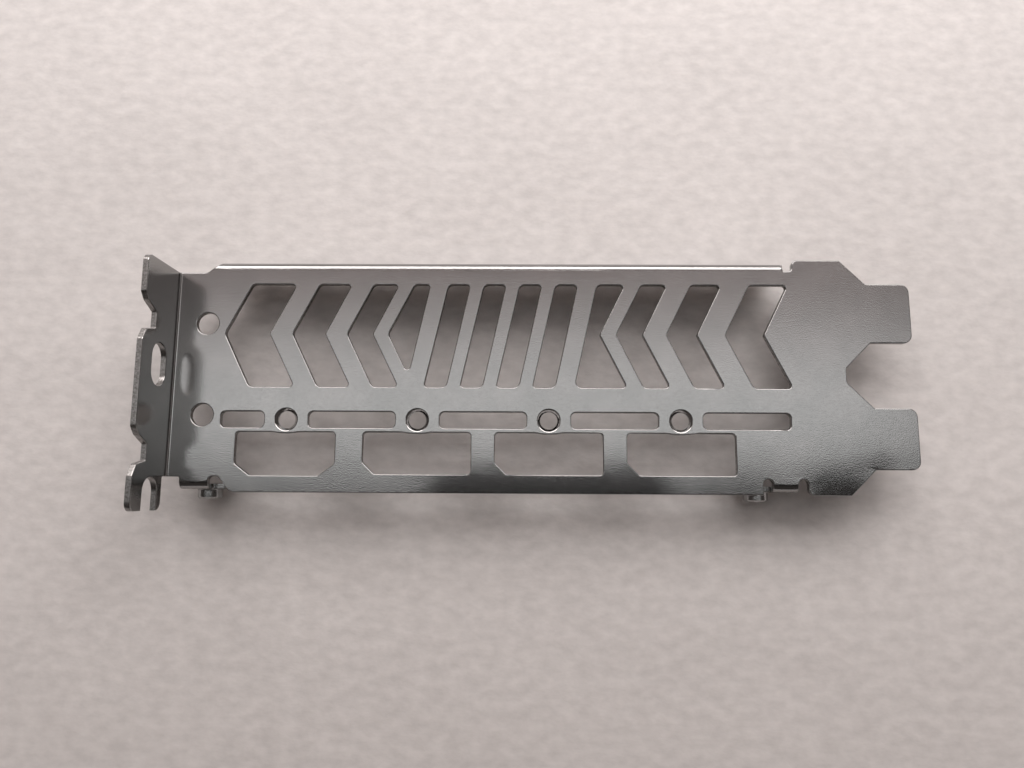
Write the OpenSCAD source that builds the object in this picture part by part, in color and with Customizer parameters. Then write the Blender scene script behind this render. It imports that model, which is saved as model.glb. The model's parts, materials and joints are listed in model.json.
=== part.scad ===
// Two-slot expansion-card bracket: one punched and folded steel sheet.
// X runs from the mounting flange to the card-slot tongues, Y runs across the
// two slots and Z is up. The bracket lies on the cut edges of its side flange
// and its board tabs, with the outer face up and the mounting flange standing.
// The origin is the middle of the bounding box, on the surface it lies on.

/* [Sheet] */
// Thickness of the steel sheet
sheet = 0.86; // [0.76:0.02:1]
// Inside radius of every fold
fold_r = 0.4; // [0.2:0.05:0.6]
// Depth of the side flange and the board tabs, from the outer face
side_depth = 8; // [7.4:0.1:12]

/* [Plate] */
// Length from the outer face of the mounting flange to the tongue tips
overall_length = 120.02; // [118:0.02:124]
// Width over the plate's flat edges
plate_w = 38.15; // [37.9:0.05:39.5]
// Width of the plate where it meets the mounting flange
root_w = 33.38; // [32.6:0.02:34]
// Width over the outer faces of the side flange and the board tabs
folded_w = 37.2; // [37:0.05:37.6]
// Place where the plate's flat edges turn in towards the tongues
shoulder_x = 108.1; // [107:0.1:109]
// Radius of the plate's blunt corners
blunt_r = 0.3; // [0.1:0.05:0.5]

/* [Tongues] */
// Distance between the two card slots
slot_pitch = 20.32; // [20.12:0.01:20.52]
// Width of each tongue
tongue_w = 9.8; // [9:0.05:10.4]
// Corner radius at the tongue tips
tongue_r = 1.4; // [0.4:0.1:3]
// Place of the root of the valley between the tongues
valley_x = 108.3; // [106:0.1:110]
// Width of the valley's root
valley_w = 2.3; // [1:0.1:4]
// Corner radius at the valley's root
valley_r = 0.8; // [0.3:0.05:0.9]
// Radius where the plate's side edge runs into the tongue on the folded side
tongue_root_r = 0.8; // [0.3:0.05:1.5]

/* [Mounting flange] */
// Depth of the mounting flange over the sheet
flange_depth = 11.43; // [11:0.01:13]
// How far the flange reaches past the plate on the side of the open slot
flange_reach = 5.25; // [4:0.05:8]
// Radius of the flange's corners
flange_r = 1.3; // [0.4:0.1:1.4]
// Width of the screw slots
screw_slot_w = 4.4; // [3.6:0.02:4.6]
// Length of the closed screw slot
screw_slot_l = 6.7; // [5.6:0.1:8]
// Height of the middle of the screw slots above the outer face
screw_slot_z = 5.05; // [4.9:0.05:5.3]
// Middle of the closed screw slot, from the middle of the bracket
screw_slot_y = 0.5; // [-0.5:0.05:1]
// Closed end of the open screw slot, from the middle of the bracket
open_slot_y = -16.9; // [-17.4:0.05:-16.2]
// Height at which the end of the flange is cut free of the plate
prong_z = 1.35; // [1.3:0.05:1.8]

/* [Flange notches] */
// Middle of each notch, from the middle of the screw slot beside it
notch_offset = 6.6; // [6.2:0.1:7]
// Width of a notch at its base
notch_base_w = 2.5; // [1.5:0.1:3.4]
// Width of a notch where its sides turn outwards
notch_throat_w = 4.3; // [3.6:0.1:4.6]
// Width of a notch at the free edge of the flange
notch_mouth_w = 7.2; // [6:0.1:7.6]
// Shift of a notch's throat from the middle of its base
notch_lean = 0.3; // [0:0.05:0.5]
// Depth of a notch
notch_depth = 3.7; // [2.4:0.05:4]
// Depth at which the sides of a notch turn outwards
notch_throat_depth = 1.05; // [0.8:0.05:1.8]
// Radius of the corners at a notch's mouth
notch_mouth_r = 1; // [0.4:0.1:1.2]
// Radius of the bends at a notch's throat
notch_throat_r = 0.5; // [0.2:0.05:0.8]
// Radius of the corners at a notch's base
notch_base_r = 0.15; // [0.1:0.05:0.4]

/* [Vents] */
// Upper edge of the vents
vent_top = 14.8; // [13:0.05:15.4]
// Lower edge of the vents
vent_bottom = -2.2; // [-3:0.05:0]
// Height of the points of the chevrons
vent_tip_y = 6.5; // [5.5:0.1:7.5]
// Sideways run of a chevron's arm for each unit of height
chevron_rake = 0.5; // [0.42:0.01:0.52]
// Sideways run of the slanted bars for each unit of height
bar_rake = 0.22; // [0.18:0.01:0.26]
// Radius of the vents' blunt corners and of the chevrons' left points
vent_blunt_r = 1; // [0.3:0.05:1.1]
// Radius of the vents' sharp corners and of the chevrons' inner points
vent_sharp_r = 0.5; // [0.2:0.05:0.6]

/* [Chevrons, by their left points] */
// Point of the first chevron
chevron_1_x = 7.9; // [7.4:0.05:8.6]
// Width of the first chevron
chevron_1_w = 7.3; // [5:0.05:8.4]
// Point of the second chevron
chevron_2_x = 18.95; // [18:0.05:19.6]
// Width of the second chevron
chevron_2_w = 5.3; // [3.6:0.05:6.4]
// Point of the third chevron
chevron_3_x = 27.85; // [27:0.05:28.2]
// Width of the third chevron
chevron_3_w = 4.15; // [3:0.05:4.6]
// Point of the vent that tapers to nothing beside the slanted bars
taper_x = 34.55; // [34:0.05:34.8]
// Width of the tapering vent along its upper edge
taper_w = 2.55; // [1.8:0.05:3]
// Inner point of the vent that turns the slanted bars back into chevrons
turn_x = 68.85; // [68.2:0.05:69]
// Width of the turning vent along its upper edge
turn_w = 4.5; // [3.4:0.05:4.8]
// Point of the fourth chevron
chevron_4_x = 71.55; // [71:0.05:72.4]
// Width of the fourth chevron
chevron_4_w = 4.2; // [3:0.05:5.4]
// Point of the fifth chevron
chevron_5_x = 79.65; // [79:0.05:80.4]
// Width of the fifth chevron
chevron_5_w = 4.9; // [3.6:0.05:6.4]
// Point of the sixth chevron
chevron_6_x = 89.15; // [88:0.05:90]
// Width of the sixth chevron
chevron_6_w = 6.2; // [4.4:0.05:7.4]

/* [Slanted bars] */
// Left side of the slanted openings at their upper end
bars_x = 44.25; // [43.6:0.05:44.6]
// Width of the slanted openings together
bars_w = 21.05; // [19:0.05:21.4]
// Number of slanted openings
bar_count = 4; // [2:1:5]
// Width of the metal between two slanted openings
bar_web = 2.3; // [1.6:0.1:2.6]

/* [Connector openings] */
// Middle of the first connector
connector_x = 18.58; // [18.25:0.01:18.7]
// Distance between two connectors
connector_pitch = 21.02; // [20.9:0.01:21.15]
// Number of connectors
connector_count = 4; // [2:1:4]
// Upper edge of the connector openings
connector_top = -9.5; // [-9.7:0.05:-9.45]
// Width of the first opening
first_w = 15.95; // [14:0.05:17]
// Height of the first opening
first_h = 6.9; // [5:0.05:7]
// Width of the cut corners of the first opening
first_cut_w = 2.5; // [1:0.1:4]
// Height of the cut corners of the first opening
first_cut_h = 1.9; // [1:0.1:3]
// Width of each of the other openings
other_w = 17.2; // [15:0.1:18]
// Height of the other openings
other_h = 6.6; // [5:0.05:7]
// Size of the cut corner of the other openings
other_cut = 1.9; // [0.8:0.1:3]
// Radius of the corners of the connector openings
connector_r = 0.6; // [0.1:0.05:0.7]

/* [Slots and holes] */
// Middle of the row of slots and countersunk holes
row_y = -7.5; // [-7.55:0.05:-7.2]
// Height of the slots
row_slot_h = 2.6; // [2:0.1:2.8]
// Radius of the corners of the slots
row_slot_r = 0.8; // [0.3:0.05:0.95]
// Distance from the middle of a countersunk hole to the slots beside it
row_gap = 3.55; // [2.8:0.05:5]
// Left end of the first slot
row_start = 8.05; // [7.4:0.05:10]
// Diameter of the countersunk holes
sink_hole_d = 2.8; // [2.2:0.05:3]
// Diameter of the countersinks at the outer face
sink_d = 3.7; // [3.3:0.05:3.7]
// How far the thin rim beside a countersink bulges into the opening below it
rim_bulge = 0.22; // [0.1:0.02:0.4]
// Diameter of the two plain holes beside the mounting flange
side_hole_d = 3.6; // [2.6:0.05:4.2]
// Distance of the plain holes from the mounting flange
side_hole_x = 5.01; // [4.4:0.01:5.1]
// Distance between the plain holes
side_hole_gap = 14.96; // [12:0.02:18]
// Middle between the plain holes
side_hole_y = 0.66; // [-1:0.01:2]

/* [Side flange] */
// Left end of the side flange
side_flange_x0 = 6.65; // [6.2:0.05:8]
// Right end of the side flange
side_flange_x1 = 98.85; // [95:0.05:99.4]
// Radius of the free corners of the side flange
side_flange_r = 1; // [0.3:0.1:3]
// Length of the slope that widens the plate from its root to the side flange
slope_run = 2.3; // [1.6:0.05:2.6]
// Radius where that slope leaves the root
slope_r = 1.2; // [0.4:0.1:1.4]

/* [Board tabs] */
// Left side of the first tab
tab_x = 2.0; // [1.7:0.05:2.4]
// Width of the neck of the first tab
first_neck_w = 4.65; // [4:0.05:4.8]
// Right side of the second tab
second_tab_x1 = 99.85; // [99.6:0.05:100.2]
// Width of the neck of the second tab
second_neck_w = 4.0; // [3:0.05:4.4]
// Height at which the tabs widen, down from the outer face
tab_shoulder = 2.2; // [1.9:0.05:2.4]
// Radius of the free corners of the tabs
tab_r = 1.2; // [0.3:0.1:1.4]
// Middle of the threaded hole of the first tab
tab_hole_x = 5.35; // [5.1:0.05:5.6]
// Distance between the threaded holes of the two tabs
tab_hole_gap = 88.95; // [88.8:0.05:89.4]
// Height of the threaded holes, down from the outer face
tab_hole_z = 4.6; // [4.3:0.05:5]
// Distance from a threaded hole to the free side of its tab
tab_margin = 3.35; // [2.6:0.05:3.6]
// Core diameter of the threads
thread_d = 2.5; // [2.2:0.05:2.8]
// Diameter of the drawn collars round the threads
collar_d = 3.85; // [3.6:0.05:4.1]
// How far the collars stand out of the tabs
collar_h = 1.5; // [0.6:0.05:1.8]

/* [Relief notches] */
// Width of the notches beside the folds
relief_w = 1.5; // [1:0.05:1.52]
// Edge that the notches beside the board tabs reach
relief_y = -16.6; // [-16.6:0.05:-16.2]
// Edge that the notch beside the side flange reaches
side_relief_y = 17.2; // [16.8:0.05:17.2]
// Sideways run of the first notch's sloping side
relief_run = 2; // [1:0.05:3]
// Radius where that sloping side meets the plate's edge
relief_slope_r = 1.6; // [0.6:0.1:1.8]
// Radius where the last notch of each edge meets the plate's edge
relief_mouth_r = 0.95; // [0.3:0.05:1.2]

/* [Hidden] */
$fn = 48;
arc_step = 12;
over = 1;
steel = [0.66, 0.65, 0.64];

half_w = plate_w / 2;
half_root = root_w / 2;
half_folded = folded_w / 2;
fold_out_r = fold_r + sheet;
fold_y = half_folded - fold_out_r;
tip_x = overall_length - sheet;
flange_z = flange_depth - sheet;
flange_end_y = -half_root - flange_reach;
tongue_out_y = (slot_pitch + tongue_w) / 2;
tongue_in_y = (slot_pitch - tongue_w) / 2;
first_neck_x1 = tab_x + first_neck_w;
second_neck_x0 = second_tab_x1 - second_neck_w;
// A little under half a notch, so that its two corners never meet
relief_end_r = 0.49 * relief_w;
relief_soft_r = 0.4 * relief_w;
slope_fold_x = side_flange_x0 - slope_run * (half_folded - fold_y) / (half_folded - half_root);
// Chamfer on the collars' free ends and on the mouths of the threads
collar_edge = 0.25;
// Half the length of the bulge beside a countersink
rim_half = 2.2;

// The corner of the mounting fold, seen from the middle of the bounding box
corner_x = (sheet - tip_x) / 2;
corner_y = -(half_w + flange_end_y) / 2;
corner_z = side_depth;

function unit(v) = v / norm(v);
function cross2(a, b) = a[0] * b[1] - a[1] * b[0];
function turned(v, a) = [v[0] * cos(a) - v[1] * sin(a), v[0] * sin(a) + v[1] * cos(a)];

// Arc that rounds corner b of the path a, b, c
function rounded_corner(a, b, c, r) =
    r <= 0 ? [b] :
    let (back = unit(a - b),
         ahead = unit(c - b),
         half = acos(back * ahead) / 2,
         centre = b + unit(back + ahead) * r / sin(half),
         start = b + back * r / tan(half) - centre,
         turn = sign(cross2(b - a, c - b)) * (180 - 2 * half),
         steps = ceil(abs(turn) / arc_step))
    [for (i = [0 : steps]) centre + turned(start, turn * i / steps)];

// Closed outline through corners that are given as [x, y, radius]
function outline(p) = [
    for (i = [0 : len(p) - 1])
        let (a = p[(i + len(p) - 1) % len(p)], b = p[i], c = p[(i + 1) % len(p)])
        each rounded_corner([a[0], a[1]], [b[0], b[1]], [c[0], c[1]], b[2])
];

// Flat plate, counterclockwise from the root of the mounting flange
plate_corners = [
    [fold_r, -half_root, 0],
    [tab_x, -half_root, blunt_r],
    [tab_x, -fold_y, 0],
    [first_neck_x1, -fold_y, 0],
    [first_neck_x1, relief_y, relief_soft_r],
    [first_neck_x1 + relief_w, relief_y, relief_soft_r],
    [first_neck_x1 + relief_w + relief_run, -half_w, relief_slope_r],
    [second_neck_x0 - relief_w, -half_w, blunt_r / 2],
    [second_neck_x0 - relief_w, relief_y, relief_end_r],
    [second_neck_x0, relief_y, relief_end_r],
    [second_neck_x0, -fold_y, 0],
    [second_tab_x1, -fold_y, 0],
    [second_tab_x1, relief_y, relief_end_r],
    [second_tab_x1 + relief_w, relief_y, relief_end_r],
    [second_tab_x1 + relief_w, -half_w, relief_mouth_r],
    [shoulder_x, -half_w, blunt_r],
    [shoulder_x + half_w - tongue_out_y, -tongue_out_y, blunt_r],
    [tip_x, -tongue_out_y, tongue_r],
    [tip_x, -tongue_in_y, tongue_r],
    [valley_x + tongue_in_y - valley_w / 2, -tongue_in_y, blunt_r],
    [valley_x, -valley_w / 2, valley_r],
    [valley_x, valley_w / 2, valley_r],
    [valley_x + tongue_in_y - valley_w / 2, tongue_in_y, blunt_r],
    [tip_x, tongue_in_y, tongue_r],
    [tip_x, tongue_out_y, tongue_r],
    [shoulder_x + half_w - tongue_out_y, tongue_out_y, tongue_root_r],
    [shoulder_x, half_w, blunt_r],
    [side_flange_x1 + relief_w, half_w, relief_mouth_r],
    [side_flange_x1 + relief_w, side_relief_y, relief_soft_r],
    [side_flange_x1, side_relief_y, notch_base_r],
    [side_flange_x1, fold_y, 0],
    [slope_fold_x, fold_y, 0],
    [side_flange_x0 - slope_run, half_root, slope_r],
    [fold_r, half_root, 0]
];

// One flare-mouthed notch in the free edge of the mounting flange, as [y, z, radius]
function notch_corners(y) = [
    [y + notch_mouth_w / 2, flange_z, notch_mouth_r],
    [y + notch_lean + notch_throat_w / 2, flange_z - notch_throat_depth, notch_throat_r],
    [y + notch_base_w / 2, flange_z - notch_depth, notch_base_r],
    [y - notch_base_w / 2, flange_z - notch_depth, notch_base_r],
    [y + notch_lean - notch_throat_w / 2, flange_z - notch_throat_depth, notch_throat_r],
    [y - notch_mouth_w / 2, flange_z, notch_mouth_r]
];

// Mounting flange above its fold, as [y, z, radius]
flange_corners = [
    [-half_root, fold_r, 0],
    [half_root, fold_r, 0],
    [half_root, flange_z, flange_r],
    each notch_corners(screw_slot_y + notch_offset),
    each notch_corners(screw_slot_y + notch_offset - slot_pitch),
    [flange_end_y, flange_z, flange_r],
    [flange_end_y, prong_z, flange_r],
    [-half_root, prong_z, blunt_r]
];

// Side flange below its fold, as [x, z, radius]
side_flange_corners = [
    [side_flange_x0, -fold_out_r, 0],
    [side_flange_x0, -side_depth, side_flange_r],
    [side_flange_x1, -side_depth, side_flange_r],
    [side_flange_x1, -fold_out_r, 0]
];

// The two board tabs below their folds, as [x, z, radius]
first_tab_corners = [
    [tab_x, -fold_out_r, 0],
    [tab_x, -side_depth, tab_r],
    [tab_hole_x + tab_margin, -side_depth, tab_r],
    [tab_hole_x + tab_margin, -tab_shoulder, blunt_r],
    [first_neck_x1, -tab_shoulder, blunt_r],
    [first_neck_x1, -fold_out_r, 0]
];
second_tab_corners = [
    [second_tab_x1, -fold_out_r, 0],
    [second_tab_x1, -side_depth, tab_r],
    [tab_hole_x + tab_hole_gap - tab_margin, -side_depth, tab_r],
    [tab_hole_x + tab_hole_gap - tab_margin, -tab_shoulder, blunt_r],
    [second_neck_x0, -tab_shoulder, blunt_r],
    [second_neck_x0, -fold_out_r, 0]
];

// Chevron that points to the flange, from its left point and its width
function chevron_corners(x, w) =
    let (up = chevron_rake * (vent_top - vent_tip_y),
         down = chevron_rake * (vent_tip_y - vent_bottom))
    [
        [x, vent_tip_y, vent_blunt_r],
        [x + up, vent_top, vent_blunt_r],
        [x + w + up, vent_top, vent_sharp_r],
        [x + w, vent_tip_y, vent_sharp_r],
        [x + w + down, vent_bottom, vent_sharp_r],
        [x + down, vent_bottom, vent_blunt_r]
    ];

// Half chevron that is closed by a slanted side and tapers downwards
function taper_corners() =
    let (top_x = taper_x + chevron_rake * (vent_top - vent_tip_y),
         side_x = top_x + taper_w,
         low_y = (taper_x + chevron_rake * vent_tip_y - side_x + bar_rake * vent_top)
             / (chevron_rake + bar_rake))
    [
        [taper_x, vent_tip_y, vent_blunt_r],
        [top_x, vent_top, vent_blunt_r],
        [side_x, vent_top, vent_sharp_r],
        [side_x - bar_rake * (vent_top - low_y), low_y, vent_sharp_r]
    ];

// Vent with a slanted left side and the right side of a chevron
function turn_corners() =
    let (top_x = turn_x + chevron_rake * (vent_top - vent_tip_y),
         side_x = top_x - turn_w)
    [
        [side_x, vent_top, vent_blunt_r],
        [top_x, vent_top, vent_sharp_r],
        [turn_x, vent_tip_y, vent_sharp_r],
        [turn_x + chevron_rake * (vent_tip_y - vent_bottom), vent_bottom, vent_sharp_r],
        [side_x - bar_rake * (vent_top - vent_bottom), vent_bottom, vent_blunt_r]
    ];

// Slanted opening number i, counted from the left
function bar_corners(i) =
    let (w = (bars_w - (bar_count - 1) * bar_web) / bar_count,
         x = bars_x + i * (w + bar_web),
         run = bar_rake * (vent_top - vent_bottom))
    [
        [x, vent_top, vent_blunt_r],
        [x + w, vent_top, vent_sharp_r],
        [x + w - run, vent_bottom, vent_blunt_r],
        [x - run, vent_bottom, vent_sharp_r]
    ];

// Opening of the given size under a connector, with cut lower corners
function opening_corners(x, w, h, left_w, left_h, right_w, right_h) =
    let (x0 = x - w / 2, x1 = x + w / 2, low_y = connector_top - h)
    [
        [x0, connector_top, connector_r],
        [x1, connector_top, connector_r],
        [x1, low_y + right_h, connector_r],
        if (right_w > 0) [x1 - right_w, low_y, connector_r],
        [x0 + left_w, low_y, connector_r],
        [x0, low_y + left_h, connector_r]
    ];

// Places the YZ plane's drawing so that its first axis runs along Y
module across() {
    rotate([90, 0, 90])
        children();
}

// Stands a drawing up so that its first axis runs along X and its depth towards -Y
module upright() {
    rotate([90, 0, 0])
        children();
}

// Cross-section of a fold, as a quarter ring in the first quadrant
module fold_section() {
    intersection() {
        difference() {
            circle(fold_out_r);
            circle(fold_r);
        }
        square(fold_out_r);
    }
}

// Fold that turns the plate's upper edge down, from x0 to x1
module side_fold(x0, x1) {
    translate([x0, fold_y, -fold_out_r])
        across()
            linear_extrude(x1 - x0)
                fold_section();
}

module plate() {
    translate([0, 0, -sheet])
        linear_extrude(sheet)
            polygon(outline(plate_corners));
}

// Straight slot with round ends along the first axis
module round_slot(length, w) {
    for (side = [-1, 1])
        translate([side * (length - w) / 2, 0])
            circle(w / 2);
    square([length - w, w], center = true);
}

module mounting_flange() {
    translate([-sheet, 0, 0])
        across()
            linear_extrude(sheet)
                difference() {
                    polygon(outline(flange_corners));
                    translate([screw_slot_y, screw_slot_z])
                        round_slot(screw_slot_l, screw_slot_w);
                    // The second slot runs out through the end of the flange
                    translate([open_slot_y - screw_slot_l, screw_slot_z])
                        round_slot(2 * screw_slot_l, screw_slot_w);
                }
    translate([fold_r, half_root, fold_r])
        upright()
            linear_extrude(root_w)
                rotate(180)
                    fold_section();
}

module side_flange() {
    translate([0, half_folded, 0])
        upright()
            linear_extrude(sheet)
                polygon(outline(side_flange_corners));
    difference() {
        side_fold(side_flange_x0 - slope_run, side_flange_x1);
        // The plate's slope runs on over the fold
        translate([0, 0, -sheet - over])
            linear_extrude(sheet + 2 * over)
                polygon([
                    [side_flange_x0 - slope_run - over, fold_y - over],
                    [slope_fold_x, fold_y - over],
                    [slope_fold_x, fold_y],
                    [side_flange_x0, half_folded],
                    [side_flange_x0, half_folded + over],
                    [side_flange_x0 - slope_run - over, half_folded + over]
                ]);
        translate([side_flange_x0 - slope_run - over, fold_y - over, -side_depth])
            cube([slope_run + over, fold_out_r + 2 * over, side_depth - sheet]);
    }
}

// Drawn collar round a thread, standing out along +Z
module collar() {
    rotate_extrude()
        polygon([
            [0, -sheet / 2],
            [collar_d / 2, -sheet / 2],
            [collar_d / 2, collar_h - collar_edge],
            [collar_d / 2 - collar_edge, collar_h],
            [0, collar_h]
        ]);
}

// Threaded bore through a tab and its collar, with a rolled-in mouth behind
module thread_bore() {
    rotate_extrude()
        polygon([
            [0, -sheet - over],
            [thread_d / 2 + collar_edge + over, -sheet - over],
            [thread_d / 2 + collar_edge, -sheet],
            [thread_d / 2, -sheet + collar_edge],
            [thread_d / 2, collar_h + over],
            [0, collar_h + over]
        ]);
}

// A board tab with its fold and its threaded collar
module board_tab(corners, neck_x0, neck_x1, hole_x) {
    difference() {
        union() {
            translate([0, sheet - half_folded, 0])
                upright()
                    linear_extrude(sheet)
                        polygon(outline(corners));
            mirror([0, 1, 0])
                side_fold(neck_x0, neck_x1);
            translate([hole_x, -half_folded, -tab_hole_z])
                upright()
                    collar();
        }
        translate([hole_x, -half_folded, -tab_hole_z])
            upright()
                thread_bore();
    }
}

module vents() {
    polygon(outline(chevron_corners(chevron_1_x, chevron_1_w)));
    polygon(outline(chevron_corners(chevron_2_x, chevron_2_w)));
    polygon(outline(chevron_corners(chevron_3_x, chevron_3_w)));
    polygon(outline(taper_corners()));
    for (i = [0 : bar_count - 1])
        polygon(outline(bar_corners(i)));
    polygon(outline(turn_corners()));
    polygon(outline(chevron_corners(chevron_4_x, chevron_4_w)));
    polygon(outline(chevron_corners(chevron_5_x, chevron_5_w)));
    polygon(outline(chevron_corners(chevron_6_x, chevron_6_w)));
}

// Disc whose edge dips below the top of an opening, as the rim beside a countersink does
module bulge(x) {
    bow_r = (rim_half * rim_half + rim_bulge * rim_bulge) / (2 * rim_bulge);
    translate([x, connector_top - rim_bulge + bow_r])
        circle(bow_r);
}

module connector_openings() {
    for (i = [0 : connector_count - 1]) {
        x = connector_x + i * connector_pitch;
        difference() {
            if (i == 0)
                polygon(outline(opening_corners(x, first_w, first_h,
                    first_cut_w, first_cut_h, first_cut_w, first_cut_h)));
            else
                polygon(outline(opening_corners(x, other_w, other_h,
                    other_cut, other_cut, 0, 0)));
            bulge(x);
        }
    }
}

module slot_row() {
    for (i = [0 : connector_count]) {
        x0 = i == 0 ? row_start : connector_x + (i - 1) * connector_pitch + row_gap;
        x1 = connector_x + i * connector_pitch - row_gap;
        polygon(outline([
            [x0, row_y - row_slot_h / 2, row_slot_r],
            [x1, row_y - row_slot_h / 2, row_slot_r],
            [x1, row_y + row_slot_h / 2, row_slot_r],
            [x0, row_y + row_slot_h / 2, row_slot_r]
        ]));
    }
}

// Countersunk hole down through the plate
module sink_hole() {
    sink_depth = (sink_d - sink_hole_d) / 2;
    rotate_extrude()
        polygon([
            [0, -sheet - over],
            [sink_hole_d / 2, -sheet - over],
            [sink_hole_d / 2, -sink_depth],
            [sink_d / 2, 0],
            [sink_d / 2, over],
            [0, over]
        ]);
}

module plate_cuts() {
    translate([0, 0, -sheet - over])
        linear_extrude(sheet + 2 * over) {
            vents();
            connector_openings();
            slot_row();
            for (side = [-1, 1])
                translate([side_hole_x, side_hole_y + side * side_hole_gap / 2])
                    circle(side_hole_d / 2);
        }
    for (i = [0 : connector_count - 1])
        translate([connector_x + i * connector_pitch, row_y, 0])
            sink_hole();
}

module bracket() {
    color(steel)
        translate([corner_x, corner_y, corner_z]) {
            difference() {
                plate();
                plate_cuts();
            }
            mounting_flange();
            side_flange();
            board_tab(first_tab_corners, tab_x, first_neck_x1, tab_hole_x);
            board_tab(second_tab_corners, second_neck_x0, second_tab_x1, tab_hole_x + tab_hole_gap);
        }
}

bracket();
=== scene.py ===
"""Two-slot expansion-card bracket in bright zinc-plated steel, lying on a pale foam sheet.

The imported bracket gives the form. Its edges get the soft roll that a punch leaves on the face
it enters and the fine burr that it leaves on the other, and each kind of surface gets its finish.
"""
import json
import math

import bpy
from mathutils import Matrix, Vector


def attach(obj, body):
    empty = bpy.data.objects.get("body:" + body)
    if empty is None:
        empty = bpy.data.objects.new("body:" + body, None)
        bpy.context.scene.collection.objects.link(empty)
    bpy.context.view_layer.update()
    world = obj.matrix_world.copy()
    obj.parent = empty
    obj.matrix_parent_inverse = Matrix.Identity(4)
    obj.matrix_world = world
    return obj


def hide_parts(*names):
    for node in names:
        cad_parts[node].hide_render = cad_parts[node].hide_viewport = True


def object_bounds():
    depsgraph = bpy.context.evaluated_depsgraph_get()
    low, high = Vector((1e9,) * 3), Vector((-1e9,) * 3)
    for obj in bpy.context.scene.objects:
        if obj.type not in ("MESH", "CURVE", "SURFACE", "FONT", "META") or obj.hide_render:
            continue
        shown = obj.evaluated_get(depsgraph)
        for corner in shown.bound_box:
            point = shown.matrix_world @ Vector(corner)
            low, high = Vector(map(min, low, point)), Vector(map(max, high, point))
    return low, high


MM = 0.001

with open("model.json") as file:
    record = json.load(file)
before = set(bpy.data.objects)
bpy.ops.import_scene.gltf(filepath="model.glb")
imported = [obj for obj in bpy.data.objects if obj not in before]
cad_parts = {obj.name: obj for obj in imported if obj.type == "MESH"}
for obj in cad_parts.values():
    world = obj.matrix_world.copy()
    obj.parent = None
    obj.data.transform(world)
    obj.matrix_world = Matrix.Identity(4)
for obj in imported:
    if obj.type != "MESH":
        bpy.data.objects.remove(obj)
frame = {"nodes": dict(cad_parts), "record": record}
cad_low, cad_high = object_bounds()
mounts = {mount["name"]: Vector(mount["pos_m"]) for mount in frame["record"]["mounts"]}
plate_z = mounts["slot_face"].z

# ---------------------------------------------------------------- sizes of the finish

sheet_t = 0.86 * MM         # thickness of the sheet
die_roll = 0.17 * MM        # soft edge on the face that the punch enters
burr_edge = 0.04 * MM       # fine edge on the face that it leaves
sink_roll = 0.1 * MM        # softened rims of the countersinks
merge_gap = 0.001 * MM      # corners this close are one corner, or at one level
skin_tol = 0.01 * MM        # a face this close to the skin's level is part of it
strip_x = 3 * MM            # strips that let the sheet droop evenly, across X
strip_y = 1.5 * MM          # and across Y
smooth_angle = math.radians(35)
flat_cos = math.cos(math.radians(6))    # a face that leans less than this is a flat one

# Countersinks of the connector screws, four in one row
sink_r = 1.9 * MM
sink_pitch = 21.02 * MM
row_mount = mounts["connector_screws_inner"]
sinks = [row_mount + Vector((k * sink_pitch, 0, 0)) for k in (-1.5, -0.5, 0.5, 1.5)]

# Faces beyond this, on the collars and on the flange's prong, are left smooth all over
flat_limit_y = mounts["board_screw_1"].y - 0.1 * MM

# Stretches where the sheet droops a little along its free edge: middle of the stretch, the edge's
# place, depth, reach into the sheet and half the stretch's length
edge_y = -17.3 * MM
tongue_edge_y = -13.3 * MM
droops = [
    (1 * MM, edge_y, 0.17 * MM, 6.5 * MM, 19 * MM),
    (30 * MM, edge_y, 0.05 * MM, 6.5 * MM, 6 * MM),
    (47 * MM, edge_y, 0.16 * MM, 6 * MM, 3 * MM),
    (54 * MM, tongue_edge_y, 0.08 * MM, 4 * MM, 1.5 * MM),
]

# Where each finish starts
flange_z = plate_z + 0.3 * MM                   # the mounting flange stands above this
wall_z = plate_z - sheet_t - 0.1 * MM           # the plate's cut edges lie above this
side_fold_y = cad_high.y - 3 * MM               # the side flange's fold lies beyond this
wall_n = 0.4                                    # a cut edge's normal has less Z than this

# ---------------------------------------------------------------- camera

lens = 26.247
camera_place = (-3.02 * MM, -17.68 * MM, 126.57 * MM)
camera_turn = [math.radians(angle) for angle in (8.388, 0.677, 0.244)]

camera_data = bpy.data.cameras.new("camera")
camera_data.sensor_fit = "HORIZONTAL"
camera_data.sensor_width = 36
camera_data.lens = lens
camera_data.clip_start = 0.005
camera = bpy.data.objects.new("camera", camera_data)
bpy.context.scene.collection.objects.link(camera)
camera.location = camera_place
camera.rotation_mode = "ZYX"
camera.rotation_euler = camera_turn
bpy.context.scene.camera = camera

bpy.context.scene.view_settings.view_transform = "Standard"


# ---------------------------------------------------------------- helpers

def colour(code):
    """An sRGB hex code as a linear colour."""
    parts = [int(code[i:i + 2], 16) / 255 for i in (1, 3, 5)]
    linear = [c / 12.92 if c <= 0.04045 else ((c + 0.055) / 1.055) ** 2.4 for c in parts]
    return (*linear, 1)


def add(tree, kind, settings=None, **links):
    """A node with its settings; each link is a socket's value or another node's output.

    A link goes by its socket's name, with _ for a space, or by i and the socket's number.
    """
    node = tree.nodes.new(kind)
    for name, value in (settings or {}).items():
        setattr(node, name, value)
    for name, value in links.items():
        key = int(name[1:]) if name[1:].isdigit() else name.replace("_", " ")
        socket = node.inputs[key]
        if isinstance(value, bpy.types.NodeSocket):
            tree.links.new(value, socket)
        else:
            socket.default_value = value
    return node


def new_material(name):
    """A material with an empty node tree."""
    material = bpy.data.materials.new(name)
    material.use_nodes = True
    material.node_tree.nodes.clear()
    return material


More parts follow.
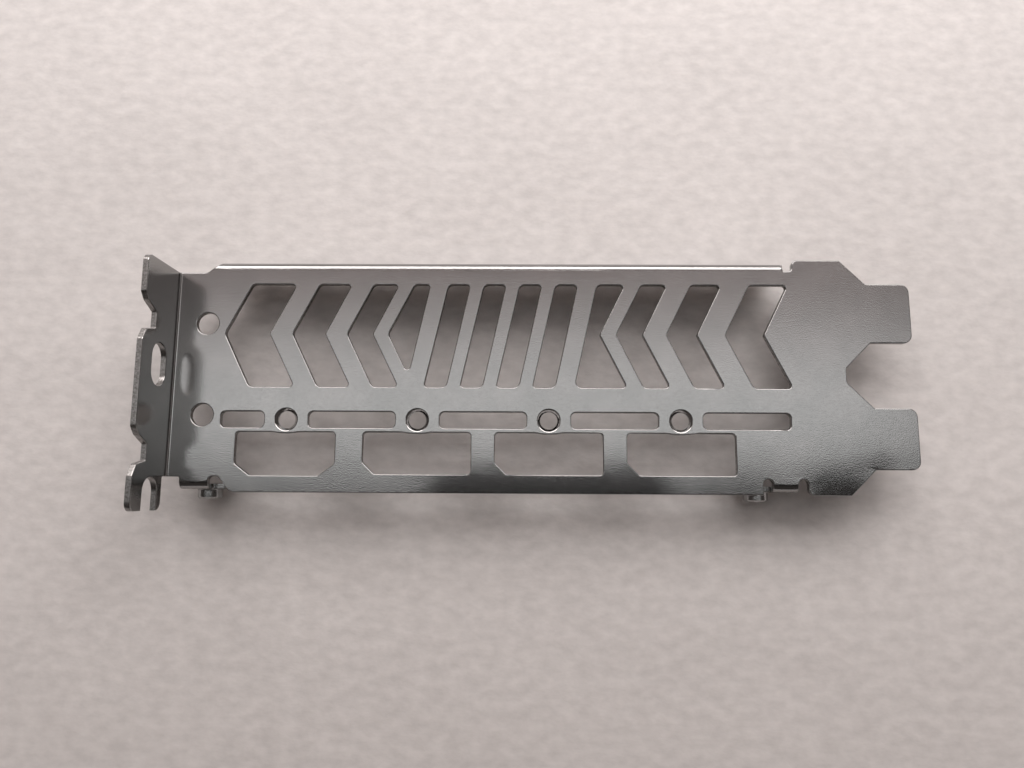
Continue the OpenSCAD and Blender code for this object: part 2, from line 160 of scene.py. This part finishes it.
def ramp(tree, fac, stops):
    """A colour ramp through (place, colour) stops."""
    node = add(tree, "ShaderNodeValToRGB", i0=fac)
    elements = node.color_ramp.elements
    while len(elements) > 1:
        elements.remove(elements[-1])
    elements[0].position, elements[0].color = stops[0]
    for place, value in stops[1:]:
        elements.new(place).color = value
    return node.outputs["Color"]


# ---------------------------------------------------------------- materials

def plated_steel(name, grain_along):
    """Cold-rolled steel, punched and then bright zinc-plated with a clear passivate.

    The plating is a neutral grey and fairly glossy: it softens what it mirrors. The rolled grain
    stays under it as short shallow streaks, with the fine orange peel of the deposit on top.
    """
    material = new_material(name)
    tree = material.node_tree
    place = add(tree, "ShaderNodeTexCoord").outputs["Object"]

    # Rolled grain: real streaks are about 0.05 mm wide and are drawn at 0.13 mm so that they show
    streak_length, streak_width = 0.6 * MM, 0.13 * MM
    scale = [1 / streak_width] * 3
    scale["XYZ".index(grain_along)] = 1 / streak_length
    stretched = add(tree, "ShaderNodeMapping", Vector=place, Scale=scale).outputs[0]
    grain = add(tree, "ShaderNodeTexNoise", Vector=stretched, Scale=1, Detail=2, Roughness=0.6)

    # Orange peel of the deposit, in cells of about 0.2 mm
    peel = add(tree, "ShaderNodeTexNoise", Vector=place, Scale=1 / (0.2 * MM), Detail=1.5)

    bump = add(tree, "ShaderNodeBump", Strength=1, Distance=0.004 * MM, Height=grain.outputs[0])
    bump = add(tree, "ShaderNodeBump", Strength=1, Distance=0.009 * MM, Height=peel.outputs[0],
               Normal=bump.outputs[0])

    # Faint cloudiness of the passivate
    cloud = add(tree, "ShaderNodeTexNoise", Vector=place, Scale=1 / (6 * MM), Detail=3)
    tint = ramp(tree, cloud.outputs[0], [(0.3, colour("#8F8F8E")), (0.7, colour("#969594"))])
    rough = add(tree, "ShaderNodeMapRange", i0=grain.outputs[0], i1=0.3, i2=0.7, i3=0.14, i4=0.19)

    shader = add(tree, "ShaderNodeBsdfPrincipled", Base_Color=tint, Metallic=1,
                 Roughness=rough.outputs[0], Normal=bump.outputs[0])
    add(tree, "ShaderNodeOutputMaterial", Surface=shader.outputs[0])
    return material


def sheared_steel():
    """Punched edge, plated over: a smooth cut band and a torn one, with streaks down the cut."""
    material = new_material("sheared_steel")
    tree = material.node_tree
    place = add(tree, "ShaderNodeTexCoord").outputs["Object"]
    # Tool marks about 0.25 mm apart along the edge
    stretched = add(tree, "ShaderNodeMapping", Vector=place,
                    Scale=(1 / (0.25 * MM), 1 / (0.25 * MM), 1 / (1.5 * MM))).outputs[0]
    marks = add(tree, "ShaderNodeTexNoise", Vector=stretched, Scale=1, Detail=2)
    bump = add(tree, "ShaderNodeBump", Strength=1, Distance=0.015 * MM, Height=marks.outputs[0])
    tint = ramp(tree, marks.outputs[0], [(0.3, colour("#6F6C6A")), (0.7, colour("#A09E9C"))])
    shader = add(tree, "ShaderNodeBsdfPrincipled", Base_Color=tint, Metallic=1, Roughness=0.3,
                 Normal=bump.outputs[0])
    add(tree, "ShaderNodeOutputMaterial", Surface=shader.outputs[0])
    return material


def machined_steel():
    """Countersunk by a turning tool and plated over: brighter and sharper than the rolled face."""
    material = new_material("machined_steel")
    tree = material.node_tree
    place = add(tree, "ShaderNodeTexCoord").outputs["Object"]
    # Chatter of the tool, in waves of 0.5 mm
    chatter = add(tree, "ShaderNodeTexNoise", Vector=place, Scale=1 / (0.5 * MM), Detail=1)
    bump = add(tree, "ShaderNodeBump", Strength=1, Distance=0.012 * MM, Height=chatter.outputs[0])
    shader = add(tree, "ShaderNodeBsdfPrincipled", Base_Color=colour("#A5A4A3"), Metallic=1,
                 Roughness=0.07, Normal=bump.outputs[0])
    add(tree, "ShaderNodeOutputMaterial", Surface=shader.outputs[0])
    return material


def foam_sheet():
    """Expanded polyethylene packing foam: a pale, matt, slightly see-through skin, softly dimpled."""
    material = new_material("foam_sheet")
    tree = material.node_tree
    place = add(tree, "ShaderNodeTexCoord").outputs["Object"]

    # Flattened cells of the foam, about 2 mm across, and slow swells of the sheet
    stretched = add(tree, "ShaderNodeMapping", Vector=place,
                    Scale=(1 / (3 * MM), 1 / (1.8 * MM), 1 / (2 * MM))).outputs[0]
    cells = add(tree, "ShaderNodeTexNoise", Vector=stretched, Scale=1, Detail=3, Roughness=0.55)
    swells = add(tree, "ShaderNodeTexNoise", Vector=place, Scale=1 / (30 * MM), Detail=1)
    bump = add(tree, "ShaderNodeBump", Strength=1, Distance=0.10 * MM, Height=cells.outputs[0])
    bump = add(tree, "ShaderNodeBump", Strength=1, Distance=1.0 * MM, Height=swells.outputs[0],
               Normal=bump.outputs[0])

    # Painted light: the sheet is painted paler towards the lamp's side, over some 200 mm, in place of
    # the light's falloff
    along = add(tree, "ShaderNodeSeparateXYZ", Vector=place)
    painted_falloff = add(tree, "ShaderNodeMapRange", i0=along.outputs["Y"], i1=-0.1, i2=0.1, i3=0, i4=1)
    tint = ramp(tree, painted_falloff.outputs[0], [(0, colour("#C9C4C1")), (1, colour("#E9E5E3"))])
    # Painted light and shade of the cells: cell walls painted lighter or darker than the foam between
    # them, as if catching more or less light
    painted_cell_light = ramp(tree, cells.outputs[0], [(0.3, colour("#EDEDED")), (0.7, colour("#FFFFFF"))])
    tint = add(tree, "ShaderNodeMix", {"data_type": "RGBA", "blend_type": "MULTIPLY"},
               i0=1, i6=tint, i7=painted_cell_light).outputs[2]
    shader = add(tree, "ShaderNodeBsdfPrincipled", Base_Color=tint, Roughness=0.6,
                 Normal=bump.outputs[0], Subsurface_Weight=1,
                 Subsurface_Radius=(13 * MM, 13 * MM, 13 * MM), Subsurface_Scale=1)
    add(tree, "ShaderNodeOutputMaterial", Surface=shader.outputs[0])
    return material


# ---------------------------------------------------------------- bracket

def select_only(piece):
    """Selects just this piece and makes it active."""
    bpy.ops.object.select_all(action="DESELECT")
    piece.select_set(True)
    bpy.context.view_layer.objects.active = piece


def select_faces(mesh, test):
    """In edit mode, selects just the faces that pass the test."""
    bpy.ops.mesh.select_mode(type="FACE")
    bpy.ops.mesh.select_all(action="DESELECT")
    bpy.ops.object.mode_set(mode="OBJECT")
    for face in mesh.polygons:
        face.select = test(face)
    bpy.ops.object.mode_set(mode="EDIT")


def in_sink(point):
    """Whether a point lies in or on the rim of a countersink."""
    return any((point.x - sink.x) ** 2 + (point.y - sink.y) ** 2 < sink_r ** 2 for sink in sinks)


def round_edges_of_skin(mesh, height, facing, radius, segments):
    """Rounds the rims of the sheet's skin that holds the plate's face at that height."""
    select_faces(mesh, lambda face: (face.normal.z * facing > flat_cos
                                     and abs(face.center.z - height) < skin_tol))
    bpy.ops.mesh.faces_select_linked_flat(sharpness=smooth_angle)
    bpy.ops.mesh.region_to_loop()
    bpy.ops.object.mode_set(mode="OBJECT")
    for edge in mesh.edges:
        if edge.select and all(in_sink(mesh.vertices[i].co) for i in edge.vertices):
            edge.select = False
    bpy.ops.object.mode_set(mode="EDIT")
    bpy.ops.mesh.bevel(offset=radius, offset_type="OFFSET", segments=segments, profile=0.5,
                       affect="EDGES", clamp_overlap=False, miter_outer="SHARP")


def cut_into_strips(axis, low, high, step):
    """Cuts the whole mesh by planes across an axis, a step apart."""
    normal = Vector((axis == "X", axis == "Y", 0))
    for i in range(1, round((high - low) / step)):
        bpy.ops.mesh.select_all(action="SELECT")
        bpy.ops.mesh.bisect(plane_co=normal * (low + i * step), plane_no=normal)


def soften_sinks(mesh):
    """Rounds the rims of the countersinks a little."""
    bpy.ops.mesh.select_mode(type="EDGE")
    bpy.ops.mesh.select_all(action="DESELECT")
    bpy.ops.object.mode_set(mode="OBJECT")
    for edge in mesh.edges:
        ends = [mesh.vertices[i].co for i in edge.vertices]
        edge.select = all(in_sink(end) and abs(end.z - plate_z) < merge_gap for end in ends)
    bpy.ops.object.mode_set(mode="EDIT")
    bpy.ops.mesh.bevel(offset=sink_roll, offset_type="OFFSET", segments=3, profile=0.5,
                       affect="EDGES", clamp_overlap=False)


def press(mesh, x, y, depth, reach, width):
    """Presses the sheet's lower edge down near a place, fading out over the reach."""
    bpy.ops.mesh.select_mode(type="VERT")
    bpy.ops.mesh.select_all(action="DESELECT")
    bpy.ops.object.mode_set(mode="OBJECT")
    for vertex in mesh.vertices:
        vertex.select = (abs(vertex.co.x - x) < width and vertex.co.y < y
                         and plate_z - 2 * sheet_t < vertex.co.z)
    bpy.ops.object.mode_set(mode="EDIT")
    bpy.ops.transform.translate(value=(0, 0, -depth), use_proportional_edit=True,
                                proportional_edit_falloff="SHARP", proportional_size=reach)


def set_normals(mesh):
    """Smooth normals in which the flat stretches keep their own direction right up to the rims."""
    normals = [face.normal.copy() for face in mesh.polygons]
    areas = [face.area for face in mesh.polygons]
    flat = [abs(n.z) > flat_cos or (abs(n.z) < 0.1 and face.center.y > flat_limit_y)
            for n, face in zip(normals, mesh.polygons)]
    around = [[] for _ in mesh.vertices]
    for face in mesh.polygons:
        for corner in face.vertices:
            around[corner].append(face.index)
    smooth_cos = math.cos(smooth_angle)
    corners = []
    for face in mesh.polygons:
        own = normals[face.index]
        for corner in face.vertices:
            near = [i for i in around[corner] if normals[i].dot(own) > smooth_cos]
            ruling = [i for i in near if flat[i]] or near
            total = sum((normals[i] * areas[i] for i in ruling), Vector())
            corners.append(total.normalized() if total.length > 0 else own)
    mesh.normals_split_custom_set(corners)


def dressed_bracket(cad):
    """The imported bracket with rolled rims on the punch's side and a fine burr edge on the other."""
    piece = bpy.data.objects.new("dressed_bracket", cad.data.copy())
    bpy.context.scene.collection.objects.link(piece)
    select_only(piece)
    mesh = piece.data
    bpy.ops.object.mode_set(mode="EDIT")
    bpy.ops.mesh.select_all(action="SELECT")
    bpy.ops.mesh.remove_doubles(threshold=merge_gap)
    bpy.ops.mesh.dissolve_limited(angle_limit=math.radians(0.5))
    round_edges_of_skin(mesh, plate_z, 1, die_roll, 4)
    round_edges_of_skin(mesh, plate_z - sheet_t, -1, burr_edge, 2)
    soften_sinks(mesh)
    cut_into_strips("Y", cad_low.y, cad_high.y, strip_y)
    cut_into_strips("X", cad_low.x, cad_high.x, strip_x)
    for x, y, depth, reach, width in droops:
        press(mesh, x, y, depth, reach, width)
    bpy.ops.mesh.select_all(action="SELECT")
    bpy.ops.mesh.quads_convert_to_tris(quad_method="BEAUTY", ngon_method="BEAUTY")

    bpy.ops.object.mode_set(mode="OBJECT")
    bpy.ops.object.shade_smooth_by_angle(angle=smooth_angle)
    set_normals(mesh)
    return piece


bracket = dressed_bracket(frame["nodes"]["bracket"])
bracket.data.materials.clear()
bracket.data.materials.append(plated_steel("plated_steel", "X"))
bracket.data.materials.append(plated_steel("plated_steel_flange", "Z"))
bracket.data.materials.append(sheared_steel())
bracket.data.materials.append(machined_steel())
PLATE, FLANGE, CUT, SINK = range(4)     # their places on the bracket, in the order above
for face in bracket.data.polygons:
    n, c = face.normal, face.center
    if c.z > flange_z:
        face.material_index = FLANGE if abs(n.x) > 0.5 else CUT
    elif in_sink(c) and abs(n.z) < flat_cos:
        face.material_index = SINK
    elif c.z > wall_z and abs(n.z) < wall_n and c.y < side_fold_y:
        face.material_index = CUT
    else:
        face.material_index = PLATE
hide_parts("bracket")
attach(bracket, "root")

# ---------------------------------------------------------------- foam floor

bpy.ops.object.select_all(action="DESELECT")
bpy.ops.mesh.primitive_plane_add(size=4)
floor = bpy.context.active_object
floor.name = "foam_floor"
floor.data.materials.append(foam_sheet())

# ---------------------------------------------------------------- light

def area_lamp(name, place, size, power, tint):
    """A soft box at a place, facing the bracket."""
    data = bpy.data.lights.new(name, "AREA")
    data.shape = "RECTANGLE"
    data.size, data.size_y = size
    data.energy = power
    data.color = colour(tint)[:3]
    lamp = bpy.data.objects.new(name, data)
    bpy.context.scene.collection.objects.link(lamp)
    lamp.location = place
    lamp.rotation_euler = (-Vector(place)).to_track_quat("-Z", "Y").to_euler()


area_lamp("window", (0.04, 0.50, 0.45), (0.9, 0.45), 6.5, "#FFFAF8")


def room():
    """The room: a bright ceiling overhead, darker on the near side, and a pale band all round."""
    world = bpy.data.worlds.new("room")
    bpy.context.scene.world = world
    world.use_nodes = True
    tree = world.node_tree
    tree.nodes.clear()
    way = add(tree, "ShaderNodeTexCoord").outputs["Generated"]
    split = add(tree, "ShaderNodeSeparateXYZ", Vector=way)
    up = add(tree, "ShaderNodeMath", {"operation": "MAXIMUM"}, i0=split.outputs["Z"], i1=0.05)
    lean = add(tree, "ShaderNodeMath", {"operation": "DIVIDE"}, i0=split.outputs["Y"], i1=up.outputs[0])
    # Lean of -0.5 to 0.5 away from straight up, towards +Y, as 0 to 1
    share = add(tree, "ShaderNodeMapRange", i0=lean.outputs[0], i1=-0.5, i2=0.5, i3=0, i4=1)
    overhead = ramp(tree, share.outputs[0], [
        (0.0, colour("#3A3634")),
        (0.25, colour("#1E1B1A")),
        (0.505, colour("#1E1B1A")),
        (0.545, colour("#F4F4F4")),
        (0.63, colour("#FFFFFF")),
        (0.70, colour("#E8E5E5")),
        (0.78, colour("#9C8E8C")),
        (0.86, colour("#857876")),
        (1.0, colour("#857876")),
    ])
    # The ceiling light reaches only so far to either side
    aside = add(tree, "ShaderNodeMath", {"operation": "ABSOLUTE"}, i0=split.outputs["X"])
    ends = add(tree, "ShaderNodeMapRange", {"interpolation_type": "SMOOTHSTEP"},
               i0=aside.outputs[0], i1=0.4, i2=0.62, i3=0, i4=1)
    overhead = add(tree, "ShaderNodeMix", {"data_type": "RGBA"}, i0=ends.outputs[0],
                   i6=overhead, i7=colour("#4A4543")).outputs[2]
    height = add(tree, "ShaderNodeMapRange", {"interpolation_type": "SMOOTHSTEP"},
                 i0=split.outputs["Z"], i1=0.1, i2=0.22, i3=0, i4=1)
    sky = add(tree, "ShaderNodeMix", {"data_type": "RGBA"}, i0=height.outputs[0],
              i6=colour("#B5AFAD"), i7=overhead)
    background = add(tree, "ShaderNodeBackground", Color=sky.outputs[2], Strength=1.6)
    add(tree, "ShaderNodeOutputWorld", Surface=background.outputs[0])


room()
